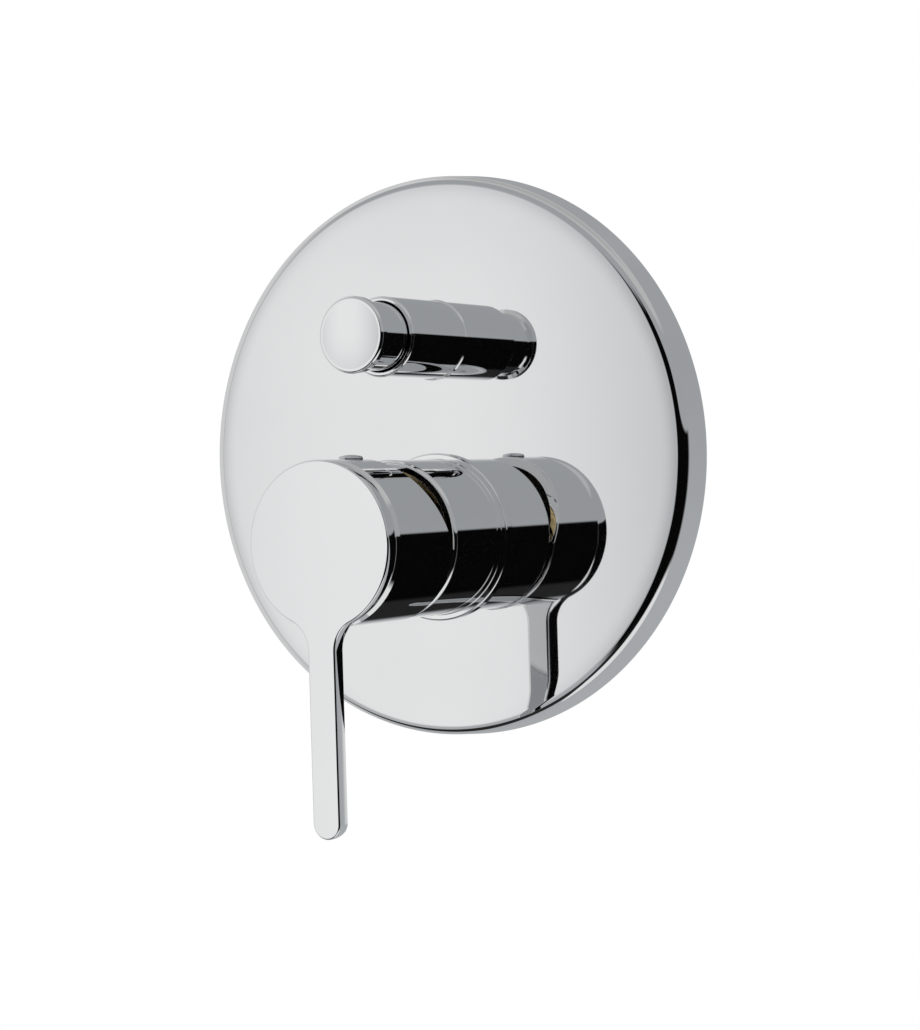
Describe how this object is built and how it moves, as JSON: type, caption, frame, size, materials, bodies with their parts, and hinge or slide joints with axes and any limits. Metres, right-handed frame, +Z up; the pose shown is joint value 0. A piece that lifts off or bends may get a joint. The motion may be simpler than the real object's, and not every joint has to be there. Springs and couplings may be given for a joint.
{
  "type": "concealed shower mixer",
  "caption": "Round wall plate with a single-lever mixer handle below centre, a pull diverter knob above it, and the brass valve casting with threaded ports that sits inside the wall.",
  "frame": {"origin": "centre of the wall-screw pattern, on the rear face of the foot bars", "axes": "+Y into the wall, -Y towards the room, +Z up, +X to the right as seen from the room"},
  "size_m": [0.17, 0.1214, 0.1919],
  "materials": {
    "chrome": "polished",
    "brass": "cast",
    "steel": "satin",
    "rubber": "matte",
    "foam": "matte",
    "cartridge_plastic": "satin",
    "grey_plastic": "gloss",
    "ceramic": "polished"
  },
  "bodies": {
    "valve": {"valve_body": "brass", "cover_plate": "chrome", "plate_gasket": "foam", "sleeve_seal": "rubber", "mixer_sleeve": "chrome", "port_seal": "rubber", "cartridge_base": "cartridge_plastic", "fixed_disc": "ceramic", "cartridge_housing": "cartridge_plastic", "cartridge_nut": "brass", "diverter_cage": "brass", "cage_seals": "rubber", "diverter_bonnet": "brass", "spindle_seal": "rubber", "diverter_sleeve": "chrome", "diverter_ring": "rubber"},
    "turret": {"cartridge_turret": "cartridge_plastic", "pivot_pin": "steel"},
    "handle": {"lever_stem": "steel", "mixer_handle": "chrome", "index_plug": "grey_plastic", "handle_screw": "steel"},
    "disc": {"disc_carrier": "cartridge_plastic", "moving_disc": "ceramic"},
    "diverter": {"diverter_knob": "chrome", "diverter_spindle": "brass", "shower_washer": "rubber", "bath_washer": "rubber", "spindle_nut": "brass", "diverter_spring": "steel"}
  },
  "joints": [
    {"name": "temperature_turn", "type": "hinge", "parent": "valve", "child": "turret", "pos_m": [0, -0.0774, -0.0243], "axis": [0, -1, 0], "range_deg": [-45, 45]},
    {"name": "flow_lift", "type": "hinge", "parent": "turret", "child": "handle", "pos_m": [0, -0.0774, -0.0243], "axis": [-1, 0, 0], "range_deg": [0, 24]},
    {"name": "disc_slide", "type": "slide", "parent": "turret", "child": "disc", "axis": [0, 0, -1], "range_m": [0, 0.0053]},
    {"name": "diverter_pull", "type": "slide", "parent": "valve", "child": "diverter", "axis": [0, -1, 0], "range_m": [0, 0.008], "stiffness_N_per_m": 400, "springref_m": -0.006, "deforming": ["diverter_spring"]}
  ],
  "couplings": [
    {"joint": "disc_slide", "follows": "flow_lift", "m_per_rad": 0.01262}
  ]
}
